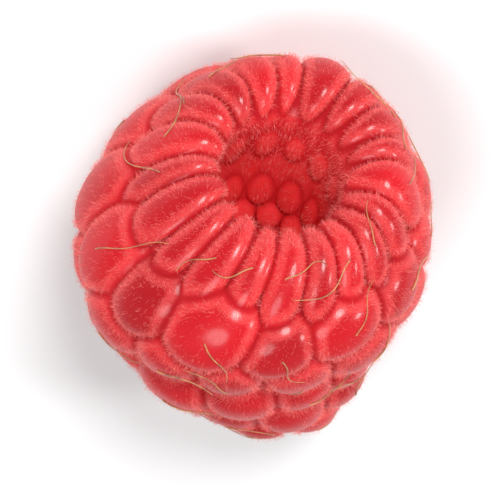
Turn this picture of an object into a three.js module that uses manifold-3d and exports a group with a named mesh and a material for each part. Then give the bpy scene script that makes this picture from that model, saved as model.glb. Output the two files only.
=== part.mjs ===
// A raspberry as picked: one fruit of drupelets grown together round the hollow that its receptacle left,
// lying on its side on a table. Millimetres, +Z up. The origin is on the table, under the fruit's middle.
//
// The fruit is first made upright about its own axis, with its tip at z = 0 and its mouth up, and then laid
// down.
import * as THREE from "three";
import Module from "manifold-3d";

const wasm = await Module();
wasm.setup();

// The skin: a smooth outline that the tops of the drupelets touch.
const WIDEST_RADIUS = 9.1;
const WIDEST_HEIGHT = 13.2; // above the tip
const FRUIT_LENGTH = 19.4;
const CREST_RADIUS = 5; // of the highest ring of the rim
const LIP_RADIUS = 2.8; // inside the mouth
const LIP_DROP = 2; // below the crest
const TIP_TAPER = 1.06;
const TIP_ROUNDNESS = 2.18;
const SHOULDER_TAPER = 1.12;

// The fruit has grown in a slight bow, towards -X at both ends. Its mouth slants down to the upper side and
// is a little narrower than it is high.
const BOW = 1.9;
const BOW_MIDDLE = 10.3; // above the tip
const MOUTH_SLANT = 0.8;
const MOUTH_SQUEEZE = 0.09;

// The hollow: a blunt cone, with a core of flesh round it that the drupelets stand out of.
const HOLLOW_RADIUS = 3.7;
const HOLLOW_FLOOR = 6.6; // above the tip
const HOLLOW_TAPER = 1.3;
const HOLLOW_ROUNDNESS = 2.9;
const CORE_DEPTH = 1.5; // below the skin
const LIP_DEPTH = 0.5; // below the skin, inside the mouth
const CORE_END = 2.75; // the station where it turns into the hollow

// Rows of drupelets from the tip up. A station tells how far along the skin a row is: 0 is the tip, 1 the
// widest ring, 2 the crest of the rim, 3 inside the mouth. Angles are in degrees, and 90 is the upper side.
const ROWS = [
  { station: 0, count: 1, phase: 90 },
  { station: 0.2, count: 6, phase: 60 },
  { station: 0.405, count: 9, phase: 84 },
  { station: 0.592, count: 11, phase: 78 },
  { station: 0.764, count: 13, phase: 84 },
  { station: 0.931, count: 14, phase: 83 },
  { station: 1.24, count: 14, phase: 66 },
];
const RIM = { from: 1.38, to: 2.75, count: 20, phase: 82 };
const TIP_WIDTH = 2.6;
const SPREAD = 0.12; // share by which the widths vary
const RIM_SPREAD = 0.27;
const SWOLLEN = { row: 6, growth: 1.16 }; // the first drupelet of this row has swollen
const SETTLE_STEPS = 40;
const YIELD = 0.2; // share of the crowding that a drupelet gives way to in one step
const SEED = 7;

// Drupelets.
const FILL = 1.13; // width of a drupelet, as a share of its room in the row
const DOME_DEPTH = 2.1;
const DOME_SQUARENESS = 2.3;
const LIFT = 1.6; // how far a drupelet of double width would stand out
const TAIL_WIDTH = 0.34; // where it ends, as a share of the dome's
const TAIL_HEIGHT = 0.5;
const TAIL_TOP = 0.9; // how far up the hollow the highest ones end
const TAIL_REACH = 1.2; // the higher, the nearer the floor of the hollow the others end
const BUMP = 0.15; // how far its end stands out into the hollow
const RIM_FILL = 1.08;
const RIM_HEIGHT = 0.8;
const RIM_ROOT = 0.4; // below its middle line
const RIM_BLUNTNESS = 2.6;
const RIM_ROUNDNESS = 2.2;
const RIM_LIFT = 0.4;

// How it lies.
const MOUTH_RISE = 22; // degrees above the level
const ROLL = 3;
const FLATTENED = 0.4; // how far the drupelets that touch the table are pressed in

// Facets.
const SIDES = 9;
const DOME_BANDS = 3;
const RIM_BANDS = 7;
const CORE_SIDES = 14;
const CORE_BANDS = 8;
const LINING = [0.75, 0.4, 0.1]; // rings of the hollow, from its mouth to its floor
const STEP = 1e-3; // of a station, to find a slope
const SLIVER = 0.03;

const { degToRad, lerp, clamp } = THREE.MathUtils;

// A linear congruential generator, between -1 and 1.
let state = SEED;
function vary() {
  state = (Math.imul(state, 1664525) + 1013904223) >>> 0;
  return state / 2 ** 31 - 1;
}

// Radius and height of the skin at a station.
function outline(station) {
  const turn = (station * Math.PI) / 2;
  const sin = Math.abs(Math.sin(turn));
  const cos = Math.abs(Math.cos(turn));
  if (station < 1) {
    const r = WIDEST_RADIUS * (1 - cos ** TIP_TAPER) ** (1 / TIP_ROUNDNESS);
    return new THREE.Vector2(r, WIDEST_HEIGHT * (1 - cos));
  }
  if (station < 2) {
    const r = lerp(CREST_RADIUS, WIDEST_RADIUS, sin ** SHOULDER_TAPER);
    return new THREE.Vector2(r, lerp(WIDEST_HEIGHT, FRUIT_LENGTH, cos ** SHOULDER_TAPER));
  }
  return new THREE.Vector2(lerp(CREST_RADIUS, LIP_RADIUS, sin), FRUIT_LENGTH - LIP_DROP * (1 - cos));
}

// Radius and height of the hollow's wall, from the middle of its floor (0) to its widest ring (1).
function hollowWall(share) {
  const r = HOLLOW_RADIUS * (1 - (1 - share) ** HOLLOW_TAPER) ** (1 / HOLLOW_ROUNDNESS);
  return new THREE.Vector2(r, lerp(HOLLOW_FLOOR, FRUIT_LENGTH - LIP_DROP, share));
}

function around({ x, y }, angle) {
  return new THREE.Vector3(x * Math.cos(angle), x * Math.sin(angle), y);
}

// A point of the skin, with its outward normal, the way around and the way up to the mouth.
function skinFrame(station, angle) {
  const slope = outline(station + STEP).sub(outline(Math.max(station - STEP, 0))).normalize();
  const across = new THREE.Vector3(-Math.sin(angle), Math.cos(angle), 0);
  const along = around(slope, angle);
  return { point: around(outline(station), angle), across, along, normal: across.clone().cross(along) };
}

// The drupelets of the sides, as stations, angles and half widths. The first one is the tip.
function scatter() {
  const drupelets = [];
  ROWS.forEach(({ station, count, phase }, row) => {
    const width = Math.max((2 * Math.PI * outline(station).x) / count, TIP_WIDTH);
    for (let i = 0; i < count; i++) {
      const swollen = row === SWOLLEN.row && i === 0;
      const growth = swollen ? SWOLLEN.growth : 1 + SPREAD * vary();
      const angle = degToRad(phase + ((i + (swollen ? 0 : SPREAD * vary())) * 360) / count);
      drupelets.push({ station, angle, half: (width * growth) / 2, lift: LIFT * (growth - 1) });
    }
  });
  return drupelets;
}

// Drupelets that crowd each other part along the skin, as they do while they swell. The tip stays.
function settle(drupelets) {
  const frames = drupelets.map(({ station, angle }) => skinFrame(station, angle));
  drupelets.slice(1).forEach((drupelet, i) => {
    const { point, across, along } = frames[i + 1];
    const push = new THREE.Vector3();
    drupelets.forEach((other, j) => {
      const apart = point.clone().sub(frames[j].point);
      const crowding = drupelet.half + other.half - apart.length();
      if (j !== i + 1 && crowding > 0) push.addScaledVector(apart.normalize(), YIELD * crowding);
    });
    const pace = outline(drupelet.station + STEP).distanceTo(outline(drupelet.station)) / STEP;
    drupelet.station += push.dot(along) / pace;
    drupelet.angle += push.dot(across) / outline(drupelet.station).x;
  });
}

// Points round a centre, in the plane of two directions.
function ring(centre, across, upward, half, high, low = high) {
  return Array.from({ length: SIDES }, (_, i) => {
    const turn = (i * 2 * Math.PI) / SIDES;
    const rise = Math.sin(turn) * (Math.sin(turn) > 0 ? high : low);
    return centre.clone().addScaledVector(across, Math.cos(turn) * half).addScaledVector(upward, rise);
  });
}

// A solid through rings of points, closed by a point at each end.
function loft(start, rings, end) {
  const sides = rings[0].length;
  const points = [start, ...rings.flat(), end];
  const triangles = [];
  for (let i = 0; i < sides; i++) {
    const next = (i + 1) % sides;
    triangles.push(0, 1 + i, 1 + next);
    for (let upper = 1; upper + sides < points.length - 1; upper += sides) {
      const lower = upper + sides;
      triangles.push(upper + i, lower + i, lower + next, upper + i, lower + next, upper + next);
    }
    const last = points.length - 1 - sides;
    triangles.push(last + i, points.length - 1, last + next);
  }
  const grown = points.flatMap(({ x, y, z }) => {
    const fromMiddle = (z - BOW_MIDDLE) / (FRUIT_LENGTH - BOW_MIDDLE);
    const aboveWidest = Math.max(z - WIDEST_HEIGHT, 0) / (FRUIT_LENGTH - WIDEST_HEIGHT);
    const bowed = x * (1 - MOUTH_SQUEEZE * aboveWidest) - BOW * fromMiddle ** 2;
    return [bowed, y, z - (MOUTH_SLANT * aboveWidest * y) / CREST_RADIUS];
  });
  const vertProperties = Float32Array.from(grown);
  const triVerts = Uint32Array.from(triangles);
  return new wasm.Manifold(new wasm.Mesh({ numProp: 3, vertProperties, triVerts }));
}

// A drupelet of the sides: a dome on the skin, with a tail that narrows to the wall of the hollow.
function sideDrupelet({ station, angle, half, lift }) {
  const { point, across, along, normal } = skinFrame(station, angle);
  point.addScaledVector(normal, lift);
  const share = clamp(station / ROWS.at(-1).station, 0, 1) ** TAIL_REACH;
  const end = around(hollowWall(TAIL_TOP * share), angle);
  const inward = end.clone().sub(point).normalize();
  const rings = [];
  for (let band = 1; band <= DOME_BANDS; band++) {
    const turn = (band * Math.PI) / 2 / DOME_BANDS;
    const depth = DOME_DEPTH * (1 - Math.cos(turn));
    const width = FILL * half * (1 - Math.cos(turn) ** DOME_SQUARENESS) ** (1 / DOME_SQUARENESS);
    rings.push(ring(point.clone().addScaledVector(normal, -depth), across, along, width, width));
  }
  const upward = across.clone().cross(inward);
  const root = end.clone().addScaledVector(inward, -BUMP);
  rings.push(ring(root, across, upward, FILL * half * TAIL_WIDTH, FILL * half * TAIL_HEIGHT));
  return loft(point, rings, end.addScaledVector(inward, BUMP));
}

// A drupelet of the rim: long and narrow, it curls over the crest into the mouth.
function rimDrupelet({ angle, share, lift }) {
  const rings = [];
  const below = (station) => {
    const { point, normal } = skinFrame(station, angle);
    return point.addScaledVector(normal, lift - RIM_HEIGHT);
  };
  for (let band = 1; band < RIM_BANDS; band++) {
    const run = band / RIM_BANDS;
    const station = lerp(RIM.from, RIM.to, run);
    const { across, normal } = skinFrame(station, angle);
    const taper = (1 - Math.abs(2 * run - 1) ** RIM_BLUNTNESS) ** (1 / RIM_ROUNDNESS);
    const half = RIM_FILL * Math.PI * outline(station).x * share * taper;
    rings.push(ring(below(station), across, normal, half, RIM_HEIGHT * taper, RIM_ROOT * taper));
  }
  return loft(below(RIM.from), rings, below(RIM.to));
}

function rimDrupelets() {
  const widths = Array.from({ length: RIM.count }, () => 1 + RIM_SPREAD * vary());
  const total = widths.reduce((sum, width) => sum + width, 0);
  let angle = degToRad(RIM.phase);
  return widths.map((width) => {
    angle += (Math.PI * width) / total;
    const drupelet = rimDrupelet({ angle, share: width / total, lift: RIM_LIFT * (width - 1) });
    angle += (Math.PI * width) / total;
    return drupelet;
  });
}

// The cup that joins the drupelets: the skin drawn inwards, round the hollow.
function core() {
  const profile = [];
  for (let band = 1; band <= CORE_BANDS; band++) {
    const station = (CORE_END * band) / CORE_BANDS;
    const { point, normal } = skinFrame(station, 0);
    const { x, z } = point.addScaledVector(normal, -lerp(CORE_DEPTH, LIP_DEPTH, clamp(station - 1, 0, 1)));
    profile.push(new THREE.Vector2(x, z));
  }
  for (const share of LINING) profile.push(hollowWall(share));
  const rings = profile.map((corner) =>
    Array.from({ length: CORE_SIDES }, (_, i) => around(corner, (-i * 2 * Math.PI) / CORE_SIDES)),
  );
  return loft(new THREE.Vector3(0, 0, CORE_DEPTH), rings, new THREE.Vector3(0, 0, HOLLOW_FLOOR));
}

// The fruit is fused and its largest body kept, laid on its side, and pressed a little flat where it touches.
function fruit() {
  const drupelets = scatter();
  for (let step = 0; step < SETTLE_STEPS; step++) settle(drupelets);
  const parts = [core(), ...drupelets.map(sideDrupelet), ...rimDrupelets()];
  const bodies = wasm.Manifold.union(parts).simplify(SLIVER).decompose();
  const whole = bodies.sort((a, b) => b.volume() - a.volume())[0];
  const lying = new THREE.Matrix4().makeRotationX(Math.PI / 2 - degToRad(MOUTH_RISE));
  lying.multiply(new THREE.Matrix4().makeRotationZ(degToRad(ROLL)));
  const laid = whole.transform(lying.elements);
  const pressed = laid.trimByPlane([0, 0, 1], laid.boundingBox().min[2] + FLATTENED);
  const { min, max } = pressed.boundingBox();
  return pressed.translate([-(min[0] + max[0]) / 2, -(min[1] + max[1]) / 2, -min[2]]);
}

const { vertProperties, triVerts } = fruit().getMesh();
const geometry = new THREE.BufferGeometry();
geometry.setAttribute("position", new THREE.BufferAttribute(vertProperties, 3));
geometry.setIndex(new THREE.BufferAttribute(triVerts, 1));
geometry.computeVertexNormals();

const raspberry = new THREE.Mesh(
  geometry,
  new THREE.MeshStandardMaterial({ color: 0xc8202f, roughness: 0.4, metalness: 0 }),
);
raspberry.name = "raspberry";

const group = new THREE.Group();
group.add(raspberry);
export default group;
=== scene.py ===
# One picked raspberry on a pale table, in metres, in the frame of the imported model.
import math

import bmesh
import bpy
import numpy as np
from mathutils import Matrix, Quaternion, Vector
from mathutils.bvhtree import BVHTree
from mathutils.kdtree import KDTree


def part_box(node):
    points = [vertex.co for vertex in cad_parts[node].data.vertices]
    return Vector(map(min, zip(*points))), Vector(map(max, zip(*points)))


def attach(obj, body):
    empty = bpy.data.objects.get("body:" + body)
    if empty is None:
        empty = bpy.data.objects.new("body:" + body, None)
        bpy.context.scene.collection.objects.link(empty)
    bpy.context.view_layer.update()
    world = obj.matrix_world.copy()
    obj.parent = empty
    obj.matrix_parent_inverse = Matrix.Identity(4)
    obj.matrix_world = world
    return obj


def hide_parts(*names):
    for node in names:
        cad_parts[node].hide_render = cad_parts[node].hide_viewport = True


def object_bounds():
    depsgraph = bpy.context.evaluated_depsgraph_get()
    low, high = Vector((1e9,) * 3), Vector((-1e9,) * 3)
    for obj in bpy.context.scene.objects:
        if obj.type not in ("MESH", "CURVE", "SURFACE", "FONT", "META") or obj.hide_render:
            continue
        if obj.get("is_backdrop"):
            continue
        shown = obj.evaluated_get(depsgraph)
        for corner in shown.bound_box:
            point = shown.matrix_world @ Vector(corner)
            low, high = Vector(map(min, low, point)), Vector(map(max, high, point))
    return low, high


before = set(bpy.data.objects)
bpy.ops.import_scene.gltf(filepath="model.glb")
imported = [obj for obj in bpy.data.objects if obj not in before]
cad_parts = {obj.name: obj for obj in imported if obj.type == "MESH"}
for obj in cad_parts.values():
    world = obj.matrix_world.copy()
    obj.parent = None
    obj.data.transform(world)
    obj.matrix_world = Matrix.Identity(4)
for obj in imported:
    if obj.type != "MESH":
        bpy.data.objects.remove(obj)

packed_low, packed_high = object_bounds()
MM = 0.001

# The camera looks down from the side that the mouth faces, into the hollow. It is turned half round,
# so that the mouth is at the top of the picture, and its lens is long, as for a close-up.
CAMERA_RISE = math.radians(61)
PICTURE_TURN = math.radians(183)
CAMERA_DISTANCE = 0.24
PICTURE_WIDTH = 0.0248  # at the fruit
AIM_RISE = 0.0012  # towards the top of the picture
CAMERA_NEAR = 0.01

fruit_low, fruit_high = (Vector(corner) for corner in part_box("raspberry"))
fruit_middle = (fruit_low + fruit_high) / 2
camera_way = Vector((0, -math.cos(CAMERA_RISE), math.sin(CAMERA_RISE)))
camera = bpy.data.objects.new("camera", bpy.data.cameras.new("camera"))
camera.data.lens = camera.data.sensor_width * CAMERA_DISTANCE / PICTURE_WIDTH
camera.data.clip_start = CAMERA_NEAR
camera.rotation_mode = "QUATERNION"
camera.rotation_quaternion = (-camera_way).to_track_quat("-Z", "Y") @ Quaternion((0, 0, 1), PICTURE_TURN)
picture_up = camera.rotation_quaternion @ Vector((0, 1, 0))
camera.location = fruit_middle + picture_up * AIM_RISE + camera_way * CAMERA_DISTANCE
bpy.context.scene.collection.objects.link(camera)
bpy.context.scene.camera = camera

# The fruit. Juicy drupelets stand side by side on a blunt cone and have grown together round its hollow.
# Each is a dome with a tail that ends in the hollow's wall. Those of the rim are long and curl over it.
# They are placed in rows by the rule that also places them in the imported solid, in millimetres.
WIDEST_RADIUS = 9.1
WIDEST_HEIGHT = 13.2  # above the tip
FRUIT_LENGTH = 19.4
CREST_RADIUS = 5  # of the highest ring of the rim
LIP_RADIUS = 2.8  # inside the mouth
LIP_DROP = 2  # below the crest
TIP_TAPER = 1.06
TIP_ROUNDNESS = 2.18
SHOULDER_TAPER = 1.12
BOW = 1.9
BOW_MIDDLE = 10.3  # above the tip
MOUTH_SLANT = 0.8
MOUTH_SQUEEZE = 0.09  # share by which it is narrower than it is high
HOLLOW_RADIUS = 3.7
HOLLOW_FLOOR = 6.6  # above the tip
HOLLOW_TAPER = 1.3
HOLLOW_ROUNDNESS = 2.9
CORE_DEPTH = 1.5  # below the skin
LIP_DEPTH = 0.5  # below the skin, inside the mouth
CORE_END = 2.75  # the station where it turns into the hollow
ROWS = [  # station along the skin, count, angle of the first in degrees
    (0, 1, 90),
    (0.2, 6, 60),
    (0.405, 9, 84),
    (0.592, 11, 78),
    (0.764, 13, 84),
    (0.931, 14, 83),
    (1.24, 14, 66),
]
RIM_FROM = 1.38
RIM_TO = 2.75
RIM_COUNT, RIM_PHASE = 20, 82
TIP_WIDTH = 2.6
SPREAD = 0.12
RIM_SPREAD = 0.27
SWOLLEN_ROW, SWOLLEN_GROWTH = 6, 1.16
SETTLE_STEPS = 40
YIELD = 0.2  # share of the crowding that a drupelet gives way to in one step
SEED = 7
SEED_FACTOR, SEED_STEP, SEED_RANGE = 1664525, 1013904223, 2**32
FILL = 1.13  # width of a drupelet, as a share of its room in the row
DOME_DEPTH = 2.1
DOME_SQUARENESS = 2.3
LIFT = 1.6  # how far a drupelet of double width would stand out
TAIL_WIDTH = 0.38  # where it ends, as a share of the dome's
TAIL_HEIGHT = 0.56
TAIL_TOP = 0.9  # how far up the hollow the highest ones end
TAIL_REACH = 1.2  # the higher, the nearer the floor of the hollow the others end
BUMP = 0.2  # how far its end stands out into the hollow
RIM_FILL = 1.08
RIM_HEIGHT = 0.8
RIM_ROOT = 0.4  # below its middle line
RIM_BLUNTNESS = 2.6
RIM_ROUNDNESS = 2.2
RIM_LIFT = 0.4
MOUTH_RISE = math.radians(22)
ROLL = math.radians(3)
FLATTENED = 0.4  # how far the drupelets that touch the table are pressed in
DOME_SIDES, DOME_BANDS, BUMP_BANDS = 44, 18, 5
RIM_SIDES, RIM_BANDS = 36, 44
CORE_SIDES, CORE_BANDS, LINING_BANDS = 96, 44, 18
LINING_START, LINING_EASE = 0.9, 1.5
STEP = 1e-3  # of a station, to find a slope
WOBBLE = 0.03  # of a drupelet's outline, as a share of its width
WOBBLE_IN_THREES = 0.6  # against the wobble in twos
INSIDE_PACE = 3  # a point counts as inside at a third of the hollow's depth
PATCH, GRAIN, DOWN_SHEEN_PATCH = 2.2 * MM, 0.16 * MM, 0.5 * MM
RIPENESS_BY_DRUPELET, RIPENESS_BY_PATCH = 0.42, 0.9
CLEFT_WIDTH = 0.3  # where painted shade makes the skin deepest red, from the crease
DOWN_SHEEN_REACH, DOWN_SHEEN_SPREAD = 0.45, 0.32  # of the pale border, partly the down's own colour and partly painted sheen, from the crease
# CLEFT_SHADE_RED is painted shade, laid into the clefts between drupelets.
RED, DEEP_RED, CLEFT_SHADE_RED = (0.56, 0.006, 0.014, 1), (0.36, 0.002, 0.007, 1), (0.38, 0.003, 0.009, 1)
# The second pink is painted sheen for the grazing edges.
DOWN_AND_SHEEN_PINK, PAINTED_SHEEN_PINK = (1, 0.13, 0.13, 1), (1, 0.13, 0.13, 1)
# The hollow's paler red is partly its own colour and partly painted light, the glow of lit flesh; the
# deeper one is painted shade in its clefts.
LINING_AND_GLOW_RED, LINING_CLEFT_SHADE_RED = (0.84, 0.04, 0.045, 1), (0.64, 0.014, 0.02, 1)
seed_state = SEED


def vary():
    """The next draw between -1 and 1."""
    global seed_state
    seed_state = (seed_state * SEED_FACTOR + SEED_STEP) % SEED_RANGE
    return 2 * seed_state / SEED_RANGE - 1


def outline(station):
    """Radius and height of the skin at a station: 0 tip, 1 widest ring, 2 crest, 3 inside the mouth."""
    station = np.asarray(station, float)
    sin, cos = np.abs(np.sin(station * math.pi / 2)), np.abs(np.cos(station * math.pi / 2))
    side = WIDEST_RADIUS * (1 - cos**TIP_TAPER) ** (1 / TIP_ROUNDNESS)
    shoulder = CREST_RADIUS + (WIDEST_RADIUS - CREST_RADIUS) * sin**SHOULDER_TAPER
    lip = CREST_RADIUS + (LIP_RADIUS - CREST_RADIUS) * sin
    radius = np.where(station < 1, side, np.where(station < 2, shoulder, lip))
    above = WIDEST_HEIGHT + (FRUIT_LENGTH - WIDEST_HEIGHT) * cos**SHOULDER_TAPER
    below = FRUIT_LENGTH - LIP_DROP * (1 - cos)
    height = np.where(station < 1, WIDEST_HEIGHT * (1 - cos), np.where(station < 2, above, below))
    return radius, height


def hollow_wall(share):
    """Radius and height of the hollow's wall, from the middle of its floor (0) to its widest ring (1)."""
    radius = HOLLOW_RADIUS * (1 - (1 - np.asarray(share)) ** HOLLOW_TAPER) ** (1 / HOLLOW_ROUNDNESS)
    return radius, HOLLOW_FLOOR + (FRUIT_LENGTH - LIP_DROP - HOLLOW_FLOOR) * share


def turned(radius, height, angle):
    """Points at a radius and a height, turned round the fruit's axis."""
    return np.stack(np.broadcast_arrays(radius * np.cos(angle), radius * np.sin(angle), height), -1)


def skin_frame(station, angle):
    """A point of the skin, with the way around, the way up to the mouth and the outward normal."""
    after, before = outline(station + STEP), outline(np.maximum(station - STEP, 0))
    along = turned(after[0] - before[0], after[1] - before[1], angle)
    along /= np.linalg.norm(along, axis=-1, keepdims=True)
    across = np.stack(np.broadcast_arrays(-np.sin(angle), np.cos(angle), 0 * angle), -1)
    return turned(*outline(station), angle), across, along, np.cross(across, along)


def scatter():
    """Stations, angles, half widths and growths of the drupelets of the sides. The first is the tip."""
    drupelets = []
    for row, (station, count, phase) in enumerate(ROWS):
        width = max(2 * math.pi * float(outline(station)[0]) / count, TIP_WIDTH)
        for i in range(count):
            swollen = row == SWOLLEN_ROW and i == 0
            growth = SWOLLEN_GROWTH if swollen else 1 + SPREAD * vary()
            angle = math.radians(phase + (i + (0 if swollen else SPREAD * vary())) * 360 / count)
            drupelets.append((station, angle, width * growth / 2, growth))
    return np.array(drupelets).T


def settle(station, angle, half):
    """Drupelets that crowd each other part along the skin, as they do while they swell. The tip stays."""
    for _ in range(SETTLE_STEPS):
        point, across, along, _ = skin_frame(station, angle)
        apart = point[:, None] - point[None]
        distance = np.linalg.norm(apart, axis=-1)
        crowding = np.maximum(half[:, None] + half[None] - distance, 0) * (distance > 0)
        push = (apart * (YIELD * crowding / np.maximum(distance, 1e-9))[..., None]).sum(1)
        push[0] = 0
        ahead, here = outline(station + STEP), outline(station)
        pace = np.hypot(ahead[0] - here[0], ahead[1] - here[1]) / STEP
        station = station + (push * along).sum(-1) / pace
        angle = angle + (push * across).sum(-1) / np.maximum(outline(station)[0], 1e-9)
    return station, angle


def lofted(name, start, rings, end, collection):
    """A closed mesh through rings of points, closed by a point at each end."""
    bands, sides = rings.shape[:2]
    corners = np.arange(bands * sides).reshape(bands, sides) + 1
    beside = np.roll(corners, -1, axis=1)
    quads = np.stack([corners[:-1], corners[1:], beside[1:], beside[:-1]], -1).reshape(-1, 4)
    last = bands * sides + 1
    faces = [(0, a, b) for a, b in zip(corners[0].tolist(), beside[0].tolist())] + quads.tolist()
    faces += [(a, last, b) for a, b in zip(corners[-1].tolist(), beside[-1].tolist())]
    mesh = bpy.data.meshes.new(name)
    mesh.from_pydata(np.vstack([start, rings.reshape(-1, 3), end]).tolist(), [], faces)
    piece = bpy.data.objects.new(name, mesh)
    collection.objects.link(piece)
    return piece


def around_ring(centre, across, upward, half, high, low, turns):
    """Rings of points round centres. A ring's points lie in the plane of across and upward."""
    rise = np.where(np.sin(turns) > 0, high, low) * np.sin(turns)
    return centre + across * (half * np.cos(turns))[..., None] + upward * rise[..., None]


def side_drupelet(index, station, angle, half, growth, collection):
    """A dome on the skin, with a tail that ends as a bump in the hollow's wall."""
    point, across, along, normal = skin_frame(np.array(station), np.array(angle))
    point = point + normal * LIFT * (growth - 1)
    share = TAIL_TOP * min(max(station / ROWS[-1][0], 0), 1) ** TAIL_REACH
    end = turned(*hollow_wall(share), angle)
    inward = (end - point) / np.linalg.norm(end - point)
    turns = np.arange(DOME_SIDES) * 2 * math.pi / DOME_SIDES
    fall = (np.arange(DOME_BANDS) + 1)[:, None] * math.pi / 2 / DOME_BANDS
    wave = np.cos(2 * turns + math.pi * vary())
    wave += WOBBLE_IN_THREES * np.cos(3 * turns + math.pi * vary())
    width = FILL * half * (1 - np.cos(fall) ** DOME_SQUARENESS) ** (1 / DOME_SQUARENESS)
    width = width * (1 + WOBBLE * wave * np.sin(fall))
    centre = point - normal * (DOME_DEPTH * (1 - np.cos(fall)))[..., None]
    dome = around_ring(centre, across, along, width, width, width, turns)
    closing = np.arange(BUMP_BANDS)[:, None] * math.pi / 2 / BUMP_BANDS
    tail = FILL * half * np.cos(closing)
    centre = end + inward * (BUMP * (2 * np.sin(closing) - 1))[..., None]
    upward, rise = np.cross(across, inward), TAIL_HEIGHT * tail
    bump = around_ring(centre, across, upward, TAIL_WIDTH * tail, rise, rise, turns)
    rings = np.concatenate([dome, bump])
    return lofted(f"drupelet{index}", point, rings, end + inward * BUMP, collection)


def rim_drupelet(index, angle, share, lift, collection):
    """A long bead that curls over the crest, from the shoulder to inside the mouth."""
    turns = np.arange(RIM_SIDES) * 2 * math.pi / RIM_SIDES
    run = np.arange(RIM_BANDS + 1)[:, None] / RIM_BANDS
    station = RIM_FROM + (RIM_TO - RIM_FROM) * run
    point, across, _, normal = skin_frame(station, np.full_like(station, angle))
    centre = point + normal * (lift - RIM_HEIGHT)
    taper = (1 - np.abs(2 * run - 1) ** RIM_BLUNTNESS) ** (1 / RIM_ROUNDNESS)
    half = RIM_FILL * math.pi * outline(station)[0] * share * taper
    rings = around_ring(centre, across, normal, half, RIM_HEIGHT * taper, RIM_ROOT * taper, turns)
    return lofted(f"rim{index}", centre[0], rings[1:-1], centre[-1], collection)


def core(collection):
    """The cup that joins the drupelets: the skin drawn inwards, round the hollow."""
    station = CORE_END * (np.arange(CORE_BANDS) + 1) / CORE_BANDS
    point, _, _, normal = skin_frame(station, 0 * station)
    drawn = point - normal * (CORE_DEPTH + (LIP_DEPTH - CORE_DEPTH) * np.clip(station - 1, 0, 1))[:, None]
    lining = hollow_wall(LINING_START * (1 - np.arange(LINING_BANDS) / LINING_BANDS) ** LINING_EASE)
    radius, height = np.append(drawn[:, 0], lining[0]), np.append(drawn[:, 2], lining[1])
    angle = -np.arange(CORE_SIDES) * 2 * math.pi / CORE_SIDES
    rings = turned(radius[:, None], height[:, None], angle)
    return lofted("core", (0, 0, CORE_DEPTH), rings, (0, 0, HOLLOW_FLOOR), collection)


def fused(parts, collection):
    """One mesh of a collection's closed meshes. A face keeps the number of its drupelet."""
    for number, part in enumerate(parts):
        numbers = part.data.attributes.new("drupelet", "INT", "FACE")
        numbers.data.foreach_set("value", [number] * len(part.data.polygons))
    first = parts[0]
    collection.objects.unlink(first)
    bpy.context.scene.collection.objects.link(first)
    union = first.modifiers.new("union", "BOOLEAN")
    union.operation, union.operand_type, union.solver = "UNION", "COLLECTION", "MANIFOLD"
    union.collection = collection
    depsgraph = bpy.context.evaluated_depsgraph_get()
    whole = bpy.data.meshes.new_from_object(first.evaluated_get(depsgraph))
    for part in parts:
        bpy.data.meshes.remove(part.data)
    bpy.data.collections.remove(collection)
    return whole


def keep_largest(mesh):
    """Loose scraps inside the fruit are dropped."""
    shape = bmesh.new()
    shape.from_mesh(mesh)
    left, islands = set(shape.verts), []
    while left:
        island, edge = set(), {left.pop()}
        while edge:
            island |= edge
            edge = {e.other_vert(v) for v in edge for e in v.link_edges} - island
        islands.append(island)
        left -= island
    islands.sort(key=len)
    bmesh.ops.delete(shape, geom=[v for island in islands[:-1] for v in island], context="VERTS")
    shape.to_mesh(mesh)
    shape.free()


def grown(points):
    """The fruit grew in a slight bow. Its mouth is squeezed a little and slants down to the upper side."""
    x, y, z = points.T
    from_middle = (z - BOW_MIDDLE) / (FRUIT_LENGTH - BOW_MIDDLE)
    above_widest = np.maximum(z - WIDEST_HEIGHT, 0) / (FRUIT_LENGTH - WIDEST_HEIGHT)
    bowed = x * (1 - MOUTH_SQUEEZE * above_widest) - BOW * from_middle**2
    return np.stack([bowed, y, z - MOUTH_SLANT * above_widest * y / CREST_RADIUS], -1)


def read_points(mesh):
    """The mesh's points, a row for each."""
    points = np.empty(len(mesh.vertices) * 3)
    mesh.vertices.foreach_get("co", points)
    return points.reshape(-1, 3)


def lay_down(mesh):
    """The upright fruit is laid on its side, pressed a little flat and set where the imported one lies."""
    lying = np.array(Matrix.Rotation(math.pi / 2 - MOUTH_RISE, 3, "X") @ Matrix.Rotation(ROLL, 3, "Z"))
    points = grown(read_points(mesh)) @ lying.T
    points[:, 2] = np.maximum(points[:, 2], points[:, 2].min() + FLATTENED)
    low, high = points.min(0), points.max(0)
    points -= [(low[0] + high[0]) / 2, (low[1] + high[1]) / 2, low[2]]
    mesh.vertices.foreach_set("co", (points * MM).ravel())
    mesh.update()


def mark_seams(mesh):
    """The clefts are creased, and each point keeps its distance to the nearest, in millimetres."""
    numbers = np.empty(len(mesh.polygons), int)
    mesh.attributes["drupelet"].data.foreach_get("value", numbers)
    of_edge = {}
    for polygon, number in zip(mesh.polygons, numbers.tolist()):
        for key in polygon.edge_keys:
            of_edge.setdefault(key, set()).add(number)
    creased = np.array([len(of_edge[edge.key]) > 1 for edge in mesh.edges])
    sharp = mesh.attributes.new("sharp_edge", "BOOLEAN", "EDGE")
    sharp.data.foreach_set("value", creased)
    corners = np.empty(len(mesh.edges) * 2, int)
    mesh.edges.foreach_get("vertices", corners)
    clefts = np.unique(corners.reshape(-1, 2)[creased])
    points = read_points(mesh)
    tree = KDTree(len(clefts))
    for place, index in enumerate(clefts.tolist()):
        tree.insert(points[index], place)
    tree.balance()
    away = np.array([tree.find(point)[2] for point in points.tolist()]) / MM
    mesh.attributes.new("cleft", "FLOAT", "POINT").data.foreach_set("value", away)
    return numbers, away


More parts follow.
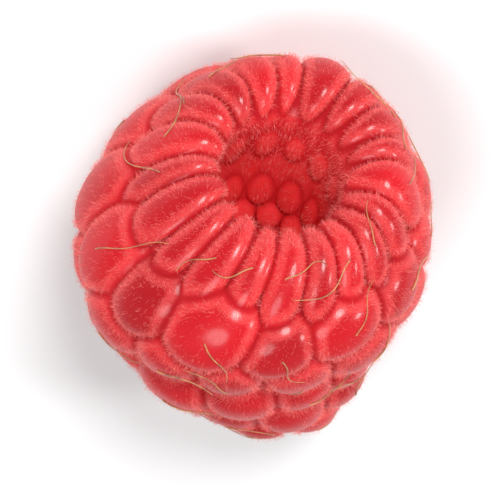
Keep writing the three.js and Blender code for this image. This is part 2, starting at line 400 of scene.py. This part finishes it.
def note_insides(mesh):
    """Each point of the upright fruit keeps how far inside the hollow it is, from 0 at the mouth to 1."""
    points = read_points(mesh)
    near_axis = np.hypot(points[:, 0], points[:, 1]) < HOLLOW_RADIUS
    above_floor = points[:, 2] > HOLLOW_FLOOR - BUMP
    mouth = FRUIT_LENGTH - LIP_DROP / 2
    depth = (mouth - points[:, 2]) / (mouth - HOLLOW_FLOOR)
    inside = np.where(near_axis & above_floor, np.clip(INSIDE_PACE * depth, 0, 1), 0)
    mesh.attributes.new("inside", "FLOAT", "POINT").data.foreach_set("value", inside)


class Shade:
    """A value that varies over a surface. Sums and products of it add Math nodes."""

    def __init__(self, tree, socket=None):
        self.tree, self.socket = tree, socket

    def node(self, kind, settings={}, sockets={}, output=0):
        """Any node, with its settings and with values or links on its sockets."""
        made = self.tree.nodes.new(kind)
        for name, setting in settings.items():
            setattr(made, name, setting)
        for name, value in sockets.items():
            if isinstance(value, Shade):
                self.tree.links.new(value.socket, made.inputs[name])
            else:
                made.inputs[name].default_value = value
        return Shade(self.tree, made.outputs[output])

    def math(self, operation, a, b):
        return self.node("ShaderNodeMath", {"operation": operation}, {0: a, 1: b})

    def __add__(self, other):
        return self.math("ADD", self, other)

    __radd__ = __add__

    def __sub__(self, other):
        return self.math("SUBTRACT", self, other)

    def __rsub__(self, other):
        return self.math("SUBTRACT", other, self)

    def __mul__(self, other):
        return self.math("MULTIPLY", self, other)

    __rmul__ = __mul__

    def clamped(self):
        return self.node("ShaderNodeClamp", {}, {"Value": self})

    def mixed(self, colour, other):
        """A colour, turned into another one where this value is 1."""
        return self.node("ShaderNodeMix", {"data_type": "RGBA"}, {0: self, 6: colour, 7: other}, 2)

    def kept(self, name):
        """A number that the mesh keeps at each of its points or faces."""
        return self.node("ShaderNodeAttribute", {"attribute_name": name}, {}, 2)

    def noise(self, size, detail=2):
        """Noise between 0 and 1, with patches of a size in metres."""
        place = self.node("ShaderNodeTexCoord", {}, {}, 3)
        return self.node("ShaderNodeTexNoise", {}, {"Vector": place, "Scale": 1 / size, "Detail": detail})


def new_material(name):
    """A material with its shader and the first value of its surface expressions."""
    material = bpy.data.materials.new(name)
    material.use_nodes = True
    return material, material.node_tree.nodes["Principled BSDF"], Shade(material.node_tree)


def plug(surface, sockets):
    """Values on a shader's sockets, and links where they vary."""
    for name, value in sockets.items():
        if isinstance(value, Shade):
            value.tree.links.new(value.socket, surface.inputs[name])
        else:
            surface.inputs[name].default_value = value


def berry_skin():
    """Thin glossy skin over juicy flesh, matt in the hollow, with painted shade deep red in the clefts, a
    pale ring beside them that is partly the down's colour and partly painted sheen, painted sheen where it
    turns away, and a hollow made paler partly by painted light.
    """
    material, surface, shade = new_material("berry_skin")
    tone, cleft, inside = shade.kept("tone"), shade.kept("cleft"), shade.kept("inside")
    patches, grain = shade.noise(PATCH), shade.noise(GRAIN, 4)
    ripeness = (0.5 + RIPENESS_BY_DRUPELET * tone + RIPENESS_BY_PATCH * (patches - 0.5)).clamped()
    colour = ripeness.mixed(RED, DEEP_RED)
    in_cleft = (1 - cleft * (1 / CLEFT_WIDTH)).clamped()
    # A pale pink ring beside the clefts: partly the down's own paler colour, partly painted sheen where
    # lit down catches the light.
    off_border = (cleft - DOWN_SHEEN_REACH) * (1 / DOWN_SHEEN_SPREAD)
    down_and_sheen_ring = (1 - off_border * off_border).clamped() * (0.4 + shade.noise(DOWN_SHEEN_PATCH, 3))
    colour = (0.3 * down_and_sheen_ring).mixed(colour, DOWN_AND_SHEEN_PINK)
    # Painted shade: the skin is made darker red in the clefts, where shade falls.
    colour = (0.5 * in_cleft).mixed(colour, CLEFT_SHADE_RED)
    # Painted sheen: the colour turns pale pink where the surface turns away from the view.
    grazing_sheen = shade.node("ShaderNodeLayerWeight", {}, {"Blend": 0.3}, 1)
    colour = (0.45 * grazing_sheen).mixed(colour, PAINTED_SHEEN_PINK)
    # In the hollow: paler red, partly its own colour and partly painted light, with painted shade in the
    # clefts.
    colour = inside.mixed(colour, in_cleft.mixed(LINING_AND_GLOW_RED, LINING_CLEFT_SHADE_RED))
    relief = shade.node("ShaderNodeBump", {}, {"Strength": 0.35, "Distance": 0.03 * MM, "Height": grain})
    plug(surface, {
        "Base Color": colour,
        "Roughness": 0.3 + 0.22 * patches + 0.2 * inside + 0.25 * in_cleft,
        "Normal": relief,
        "IOR": 1.36,
        "Specular IOR Level": 0.2,
        "Subsurface Weight": 0.4,
        "Subsurface Radius": (1, 0.2, 0.15),
        "Subsurface Scale": 1.1 * MM,
        "Coat Weight": 0.4 * (1 - inside) * (1 - in_cleft) * (1 - grazing_sheen),
        "Coat Roughness": 0.17,
    })
    return material


loose = bpy.data.collections.new("loose_drupelets")
bpy.context.scene.collection.children.link(loose)
station, angle, half, growth = scatter()
station, angle = settle(station, angle, half)
side_count = len(station)
rim_widths = np.array([1 + RIM_SPREAD * vary() for _ in range(RIM_COUNT)])
rim_shares = rim_widths / rim_widths.sum()
rim_angles = math.radians(RIM_PHASE) + 2 * math.pi * (np.cumsum(rim_shares) - rim_shares / 2)
rim_lifts = RIM_LIFT * (rim_widths - 1)
side_facts = zip(range(side_count), station, angle, half, growth)
rim_facts = zip(range(RIM_COUNT), rim_angles, rim_shares, rim_lifts)
drupelets = [core(loose)]
drupelets += [side_drupelet(*facts, loose) for facts in side_facts]
drupelets += [rim_drupelet(*facts, loose) for facts in rim_facts]
berry_mesh = fused(drupelets, loose)
keep_largest(berry_mesh)
note_insides(berry_mesh)
lay_down(berry_mesh)
berry_mesh.shade_smooth()
drupelet_of_face, away_from_cleft = mark_seams(berry_mesh)
random = np.random.default_rng(SEED)
tones = random.uniform(-1, 1, len(drupelets))
berry_mesh.attributes.new("tone", "FLOAT", "FACE").data.foreach_set("value", tones[drupelet_of_face])
berry_mesh.materials.clear()
berry_mesh.materials.append(berry_skin())
berry = bpy.data.objects.new("berry", berry_mesh)
bpy.context.scene.collection.objects.link(berry)
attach(berry, "root")
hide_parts("raspberry")

# The styles. One dried thread, tan and curled, is left near the top of most drupelets, where the flower's
# stigma stood. It grows from the skin and lies loosely over the neighbours.
STYLE_LENGTH = 3.6 * MM
STYLE_THICKNESS = 0.068 * MM
STYLE_STEPS = 26
STYLE_SIDES = 5
STYLE_SHARE = 0.72  # of the drupelets keep one
STYLE_REACH = 4 * MM
STYLE_GAP = 0.8 * MM  # the widest that one bridges
STYLE_TRIES = 8
STYLE_SHORTEST, STYLE_LONGEST = 0.6, 1.25  # as shares of the length
STYLE_CURL = 1.6  # radians, at most, from end to end
STYLE_WAVE, STYLE_WAVE_PACE = (0.1, 0.5), 7
STYLE_SETTLING = 120  # rounds of drawing it taut over the clefts
STYLE_LIFT = 0.25 * MM  # of the loose end, at most
STYLE_THINNEST, STYLE_THICKEST = 0.8, 1.2
STYLE_TAPER = 0.5
TOP_REACH = 3 * MM  # the least that an outer face stands off the fruit's middle
TOP_FACES = 20  # a drupelet that shows no more than these gets none
TAN, BROWN = (0.62, 0.33, 0.11, 1), (0.24, 0.085, 0.03, 1)


def tops(mesh, numbers):
    """The middle and the outward way of each drupelet's face."""
    count = len(numbers)
    areas, centres, normals = np.empty(count), np.empty(count * 3), np.empty(count * 3)
    mesh.polygons.foreach_get("area", areas)
    mesh.polygons.foreach_get("center", centres)
    mesh.polygons.foreach_get("normal", normals)
    centres, normals = centres.reshape(-1, 3), normals.reshape(-1, 3)
    middle = centres.mean(0)
    outside = ((centres - middle) * normals).sum(1) > TOP_REACH
    for number in range(1, numbers.max() + 1):
        chosen = (numbers == number) & outside
        if chosen.sum() > TOP_FACES:
            weights = areas[chosen, None] / areas[chosen].sum()
            outward = Vector((normals[chosen] * weights).sum(0)).normalized()
            yield Vector((centres[chosen] * weights).sum(0)), outward


def thread(points, radii, sides):
    """Vertices and faces of a round thread along points."""
    vertices, faces = [], []
    across = (points[1] - points[0]).orthogonal().normalized()
    for i, (point, radius) in enumerate(zip(points, radii)):
        ahead = points[min(i + 1, len(points) - 1)] - points[max(i - 1, 0)]
        across = (across - ahead * (across.dot(ahead) / ahead.length_squared)).normalized()
        beside = ahead.normalized().cross(across)
        turns = [2 * math.pi * k / sides for k in range(sides)]
        vertices += [point + (across * math.cos(t) + beside * math.sin(t)) * radius for t in turns]
    last = (len(points) - 1) * sides
    for ring in range(0, last, sides):
        for k in range(sides):
            after = (k + 1) % sides
            faces.append((ring + k, ring + after, ring + sides + after, ring + sides + k))
    faces += [tuple(reversed(range(sides))), tuple(range(last, last + sides))]
    return vertices, faces


def style_path(tree, root, outward):
    """A path over the fruit from a drupelet's top. It bridges clefts, and its end is lifted a little."""
    heading = Quaternion(outward, random.uniform(0, 2 * math.pi)) @ outward.orthogonal().normalized()
    length = STYLE_LENGTH * random.uniform(STYLE_SHORTEST, STYLE_LONGEST)
    curl = random.uniform(-STYLE_CURL, STYLE_CURL)
    wave, phase = random.uniform(*STYLE_WAVE), random.uniform(0, 6)
    points, place = [], root.copy()
    for step in range(STYLE_STEPS + 1):
        run = step / STYLE_STEPS
        turn = Quaternion(outward, curl * run * run + wave * math.sin(phase + STYLE_WAVE_PACE * run))
        place = place + (turn @ heading) * (length / STYLE_STEPS) * (step > 0)
        hit = tree.ray_cast(place + outward * STYLE_REACH, -outward)[0]
        points.append((place, (hit - place).dot(outward) if hit else -STYLE_REACH))
    heights = [height + STYLE_THICKNESS * 0.5 for _, height in points]
    for _ in range(STYLE_SETTLING):
        for i in range(1, STYLE_STEPS):
            heights[i] = max(heights[i], (heights[i - 1] + heights[i + 1]) / 2)
    if max(height - under for height, (_, under) in zip(heights, points)) > STYLE_GAP:
        return None
    lift = random.uniform(0, STYLE_LIFT)
    rise = [lift * (step / STYLE_STEPS) ** 2 for step in range(STYLE_STEPS + 1)]
    path = [place + outward * (height + up) for (place, _), height, up in zip(points, heights, rise)]
    return path if min(point.z for point in path) > STYLE_THICKNESS else None


def dry_thread():
    """Dry and tan, with browner stretches."""
    material, surface, shade = new_material("dry_thread")
    patches = shade.noise(0.5 * MM)
    plug(surface, {
        "Base Color": (2 * patches - 0.5).clamped().mixed(TAN, BROWN),
        "Roughness": 0.45 + 0.2 * patches,
        "Subsurface Weight": 0.3,
        "Subsurface Radius": (1, 0.6, 0.3),
        "Subsurface Scale": 0.1 * MM,
        "Sheen Weight": 0.3,
    })
    return material


berry_faces = [polygon.vertices[:] for polygon in berry_mesh.polygons]
berry_tree = BVHTree.FromPolygons(read_points(berry_mesh).tolist(), berry_faces)
style_vertices, style_faces = [], []
for middle, outward in tops(berry_mesh, drupelet_of_face):
    tries = (style_path(berry_tree, middle, outward) for _ in range(STYLE_TRIES))
    path = next((path for path in tries if path), None)
    if path and random.uniform() < STYLE_SHARE:
        radius = STYLE_THICKNESS * random.uniform(STYLE_THINNEST, STYLE_THICKEST) / 2
        shares = [1 - STYLE_TAPER * (step / STYLE_STEPS) ** 2 for step in range(STYLE_STEPS + 1)]
        radii = [radius * share for share in shares]
        vertices, faces = thread(path, radii, STYLE_SIDES)
        style_faces += [tuple(corner + len(style_vertices) for corner in face) for face in faces]
        style_vertices += vertices
style_mesh = bpy.data.meshes.new("styles")
style_mesh.from_pydata(style_vertices, [], style_faces)
style_mesh.shade_smooth()
style_mesh.materials.append(dry_thread())
styles = bpy.data.objects.new("styles", style_mesh)
bpy.context.scene.collection.objects.link(styles)
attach(styles, "root")

# The down. Short pale hairs grow from the skin, thickest along the clefts and just inside the mouth. They
# catch the light where the surface turns away.
DOWN_PIECES = 3
DOWN_HAIRS = 20000  # in each
DOWN_LENGTH = 0.3 * MM
DOWN_THICKNESS = 0.012 * MM
DOWN_LEAN = 0.9
DOWN_BEND = 0.45
DOWN_SIDES = 3
DOWN_TWIST = 0.3
DOWN_SHORTEST, DOWN_LONGEST = 0.55, 1.15  # as shares of the length
DOWN_UPRIGHT, DOWN_LOW = 0.2, 1.1  # as shares of the lean
DOWN_KNEE = 0.55  # where a hair bends, as a share of its length
DOWN_ROOT = 0.03 * MM  # below the skin
DOWN_TAPER = 1.3
DOWN_CLEARANCE = 0.5 * MM  # above the table, where none grows
CLEFT_BOTTOM = 0.26  # millimetres from the crease, where none is seen
CLEFT_REACH = 0.48
CLEFT_SPREAD = 0.28
DOWN_ELSEWHERE = 0.15  # grows all over, and up to 1 more along the clefts
HOLLOW_SHARE = 0.4  # of the down grows in the hollow, against as large a place outside
MOUTH_DOWN = 0.7  # more of it grows just inside the mouth
DOWN_PINK, DOWN_RED = (0.98, 0.24, 0.22, 1), (0.95, 0.18, 0.17, 1)


def down_roots(mesh, away):
    """Points and normals, drawn from the faces."""
    mesh.calc_loop_triangles()
    corners = np.empty(len(mesh.loop_triangles) * 3, int)
    mesh.loop_triangles.foreach_get("vertices", corners)
    corners = corners.reshape(-1, 3)
    points = read_points(mesh)
    a, b, c = (points[corners[:, i]] for i in range(3))
    normal = np.cross(b - a, c - a)
    area = np.linalg.norm(normal, axis=1)
    distance = away[corners].mean(1)
    inside = np.empty(len(points))
    mesh.attributes["inside"].data.foreach_get("value", inside)
    inside = inside[corners].mean(1)
    thinned = 1 - (1 - HOLLOW_SHARE) * inside
    wanted = DOWN_ELSEWHERE + np.exp(-(((distance - CLEFT_REACH) / CLEFT_SPREAD) ** 2))
    lowest = points[corners][..., 2].min(1)
    wanted = np.where((distance < CLEFT_BOTTOM) | (lowest < DOWN_CLEARANCE), 0, wanted)
    wanted += MOUTH_DOWN * 4 * inside * (1 - inside)
    chances = area * wanted * thinned
    chosen = random.choice(len(area), DOWN_HAIRS, p=chances / chances.sum())
    u, v = random.uniform(size=(2, DOWN_HAIRS, 1))
    over = u + v > 1
    u, v = np.where(over, 1 - u, u), np.where(over, 1 - v, v)
    roots = a[chosen] + u * (b - a)[chosen] + v * (c - a)[chosen]
    return roots, normal[chosen] / area[chosen, None]


def down_mesh(roots, normals):
    """Tapered, bent hairs, all in one mesh."""
    count = len(roots)
    lean = random.normal(size=(count, 3))
    lean -= normals * (lean * normals).sum(1, keepdims=True)
    lean /= np.linalg.norm(lean, axis=1, keepdims=True)
    beside = np.cross(normals, lean)
    length = DOWN_LENGTH * random.uniform(DOWN_SHORTEST, DOWN_LONGEST, (count, 1))
    slant = DOWN_LEAN * random.uniform(DOWN_UPRIGHT, DOWN_LOW, (count, 1))
    way = normals + slant * lean
    way /= np.linalg.norm(way, axis=1, keepdims=True)
    bent = way + DOWN_BEND * lean + DOWN_TWIST * beside * random.uniform(-1, 1, (count, 1))
    bent /= np.linalg.norm(bent, axis=1, keepdims=True)
    root = roots - way * DOWN_ROOT
    knee = roots + way * length * DOWN_KNEE
    tip = knee + bent * length * (1 - DOWN_KNEE)
    turns = (np.arange(DOWN_SIDES) * 2 * math.pi / DOWN_SIDES)[None, :, None]
    spokes = lean[:, None] * np.cos(turns) + beside[:, None] * np.sin(turns)
    low_ring = root[:, None] + spokes * DOWN_THICKNESS / 2
    high_ring = knee[:, None] + spokes * DOWN_THICKNESS / 2 / DOWN_TAPER
    vertices = np.concatenate([low_ring, high_ring, tip[:, None]], 1).reshape(-1, 3)
    end = 2 * DOWN_SIDES
    first = np.arange(count)[:, None] * (end + 1)
    faces = []
    for k in range(DOWN_SIDES):
        after = (k + 1) % DOWN_SIDES
        faces += (first + [k, after, DOWN_SIDES + after, DOWN_SIDES + k]).tolist()
    for k in range(DOWN_SIDES):
        after = (k + 1) % DOWN_SIDES
        faces += (first + [DOWN_SIDES + k, DOWN_SIDES + after, end]).tolist()
    mesh = bpy.data.meshes.new("down")
    mesh.from_pydata(vertices.tolist(), [], faces)
    return mesh


def pale_down():
    """Fine clear hair that takes on the red behind it."""
    material, surface, shade = new_material("pale_down")
    patches = shade.noise(3 * MM)
    plug(surface, {
        "Base Color": patches.mixed(DOWN_PINK, DOWN_RED),
        "Roughness": 0.4 + 0.2 * patches,
        "Subsurface Weight": 0.2,
        "Subsurface Scale": 0.05 * MM,
    })
    return material


down_material = pale_down()
for number in range(DOWN_PIECES):
    down = bpy.data.objects.new(f"down{number}", down_mesh(*down_roots(berry_mesh, away_from_cleft)))
    down.data.materials.append(down_material)
    bpy.context.scene.collection.objects.link(down)
    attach(down, "root")

# The table. A matt white painted board that the fruit lies on, wide enough to fill every view. It is a
# stage piece and no part of the fruit.
TABLE_SIZE = 1.6
MOTTLE = 60 * MM
WHITE, OFF_WHITE = (0.86, 0.86, 0.86, 1), (0.82, 0.82, 0.825, 1)


def white_board():
    """Matt white paint, very faintly mottled."""
    material, surface, shade = new_material("white_board")
    mottle = shade.noise(MOTTLE, 3)
    plug(surface, {
        "Base Color": mottle.mixed(WHITE, OFF_WHITE),
        "Roughness": 0.6 + 0.1 * mottle,
    })
    return material


table_mesh = bpy.data.meshes.new("table")
edge = TABLE_SIZE / 2
table_corners = [(-edge, -edge, 0), (edge, -edge, 0), (edge, edge, 0), (-edge, edge, 0)]
table_mesh.from_pydata(table_corners, [], [(0, 1, 2, 3)])
table_mesh.materials.append(white_board())
table = bpy.data.objects.new("table", table_mesh)
bpy.context.scene.collection.objects.link(table)
table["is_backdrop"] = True

# The light. A soft lamp above the mouth's side, which shines into the hollow, a larger one overhead that
# softens the shadow, a small one at the side for the drupelets' gloss, and an even sky all round.
LAMPS = [  # place, size and watts
    ((-0.06, -0.27, 0.32), 0.13, 1.27),
    ((0.12, 0, 0.4), 0.2, 0.78),
    ((-0.3, -0.06, 0.2), 0.08, 0.42),
]
SKY = (0.98, 0.99, 1, 1)
SKY_STRENGTH = 0.34

for number, (place, size, watts) in enumerate(LAMPS):
    lamp = bpy.data.lights.new(f"lamp{number}", "AREA")
    lamp.shape, lamp.size, lamp.energy = "DISK", size, watts
    stand = bpy.data.objects.new(f"lamp{number}", lamp)
    stand.location = place
    stand.rotation_mode = "QUATERNION"
    stand.rotation_quaternion = (fruit_middle - Vector(place)).to_track_quat("-Z", "Y")
    bpy.context.scene.collection.objects.link(stand)
world = bpy.data.worlds.new("sky")
world.use_nodes = True
background = world.node_tree.nodes["Background"]
background.inputs["Color"].default_value = SKY
background.inputs["Strength"].default_value = SKY_STRENGTH
bpy.context.scene.world = world
bpy.context.scene.view_settings.view_transform = "Standard"

shown_low, shown_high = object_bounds()
size = {
    "cad": [list(packed_low), list(packed_high)],
    "visual": [list(shown_low), list(shown_high)],
}
